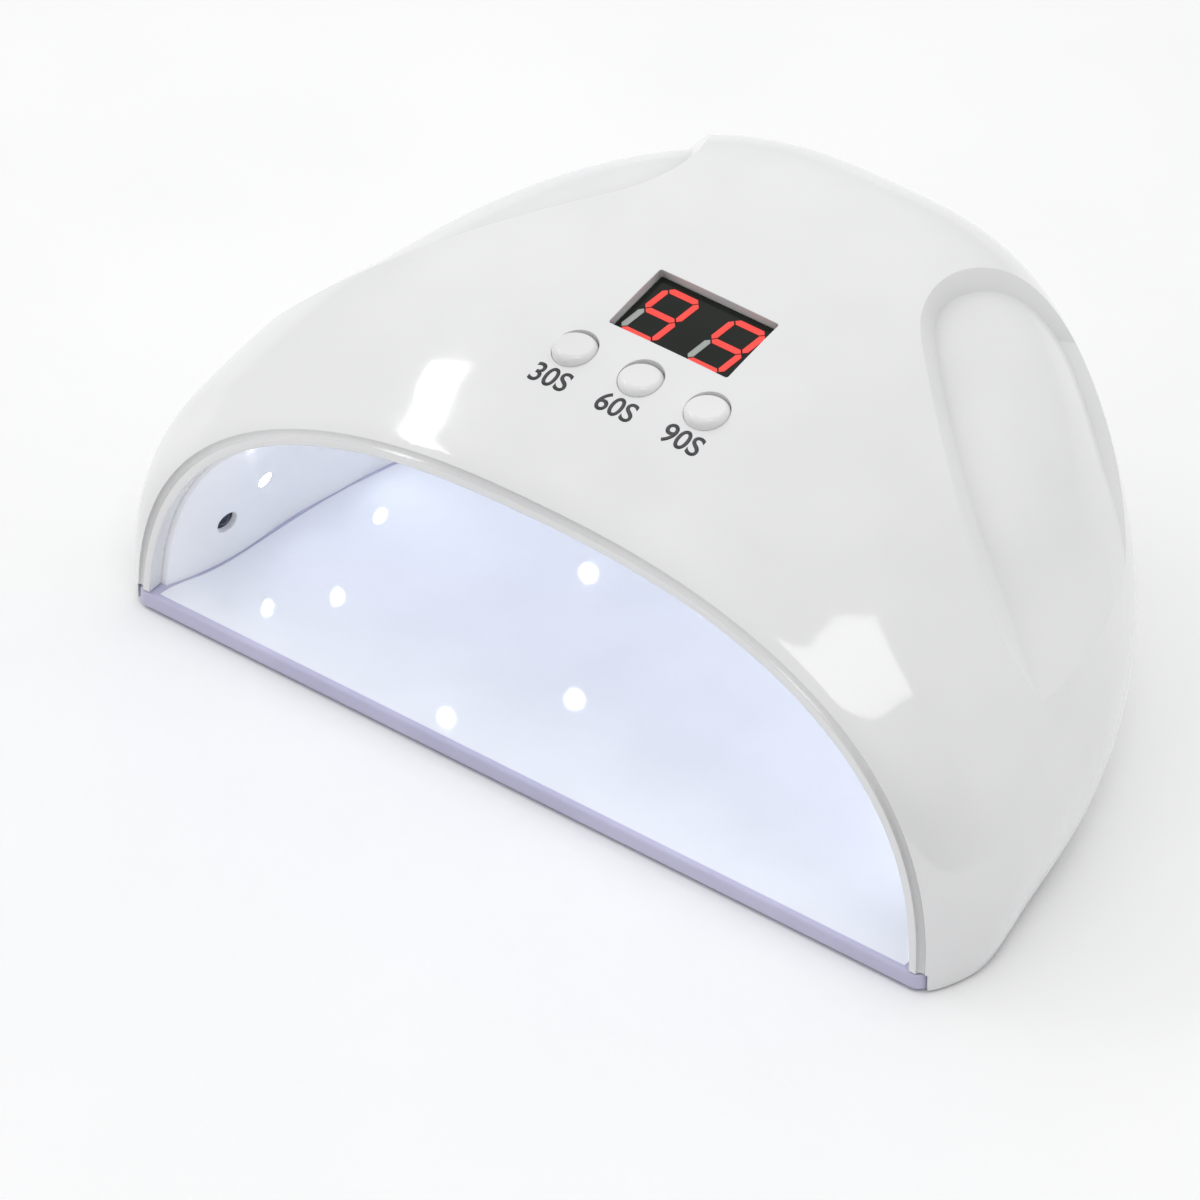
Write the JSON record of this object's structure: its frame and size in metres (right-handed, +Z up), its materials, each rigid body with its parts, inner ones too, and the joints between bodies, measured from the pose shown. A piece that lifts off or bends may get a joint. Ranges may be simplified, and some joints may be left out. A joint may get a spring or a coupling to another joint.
{
  "type": "uv led nail lamp",
  "caption": "Half-dome nail curing lamp with an arched hand opening, reflective tray, timer buttons and a two-digit display.",
  "frame": {"origin": "centre of the footprint, on the plane the rubber feet stand on", "axes": "+Z up, the hand opening faces -Y, +X to the right of someone who stands in front of the lamp and looks towards +Y; the lamp mirrors about X = 0"},
  "size_m": [0.2298, 0.1488, 0.0948],
  "materials": {
    "shell_white": "high gloss",
    "liner_white": "satin",
    "tray_grey": "satin",
    "film_white": "glossy reflective sheet",
    "foot_rubber": "matte",
    "magnet_steel": "nickel plated",
    "screw_steel": "zinc plated",
    "led_lens": "clear silicone lens over the diode",
    "led_board": "white solder mask",
    "sensor_dark": "dark filter resin",
    "board_green": "solder mask",
    "display_black": "glossy epoxy",
    "segment_red": "lit segment",
    "segment_pale": "unlit segment",
    "button_white": "gloss",
    "switch_black": "matte",
    "inlet_black": "matte",
    "pin_brass": "plated",
    "connector_cream": "matte",
    "wire_black": "matte sleeve",
    "wire_red": "matte sleeve"
  },
  "bodies": {
    "tray": {"base_tray": "tray_grey", "tray_film": "film_white", "rubber_feet": "foot_rubber", "tray_magnets": "magnet_steel"},
    "lamp": {"outer_shell": "shell_white", "inner_reflector": "liner_white", "flange_magnets": "magnet_steel", "flange_screws": "screw_steel", "board_screws": "screw_steel", "led_beads": "led_lens", "led_boards": "led_board", "ir_receiver": "sensor_dark", "ir_emitter": "sensor_dark", "control_board": "board_green", "display_module": "display_black", "lit_segments": "segment_red", "unlit_segments": "segment_pale", "tact_switches": "switch_black", "dc_inlet": "inlet_black", "inlet_pin": "pin_brass", "board_connector": "connector_cream", "wire_black": "wire_black", "wire_red": "wire_red", "led_harness": "wire_black"},
    "key_30s": {"button_30s": "button_white"},
    "key_60s": {"button_60s": "button_white"},
    "key_90s": {"button_90s": "button_white"}
  },
  "joints": [
    {"name": "lamp_lift", "type": "slide", "parent": "tray", "child": "lamp", "axis": [0, 0, 1], "range_m": [0, 0.06]},
    {"name": "press_30s", "type": "slide", "parent": "lamp", "child": "key_30s", "axis": [0, 0, -1], "range_m": [0, 0.0008], "stiffness_N_per_m": 1500, "springref_m": -0.0003},
    {"name": "press_60s", "type": "slide", "parent": "lamp", "child": "key_60s", "axis": [0, 0, -1], "range_m": [0, 0.0008], "stiffness_N_per_m": 1500, "springref_m": -0.0003},
    {"name": "press_90s", "type": "slide", "parent": "lamp", "child": "key_90s", "axis": [0, 0, -1], "range_m": [0, 0.0008], "stiffness_N_per_m": 1500, "springref_m": -0.0003}
  ]
}
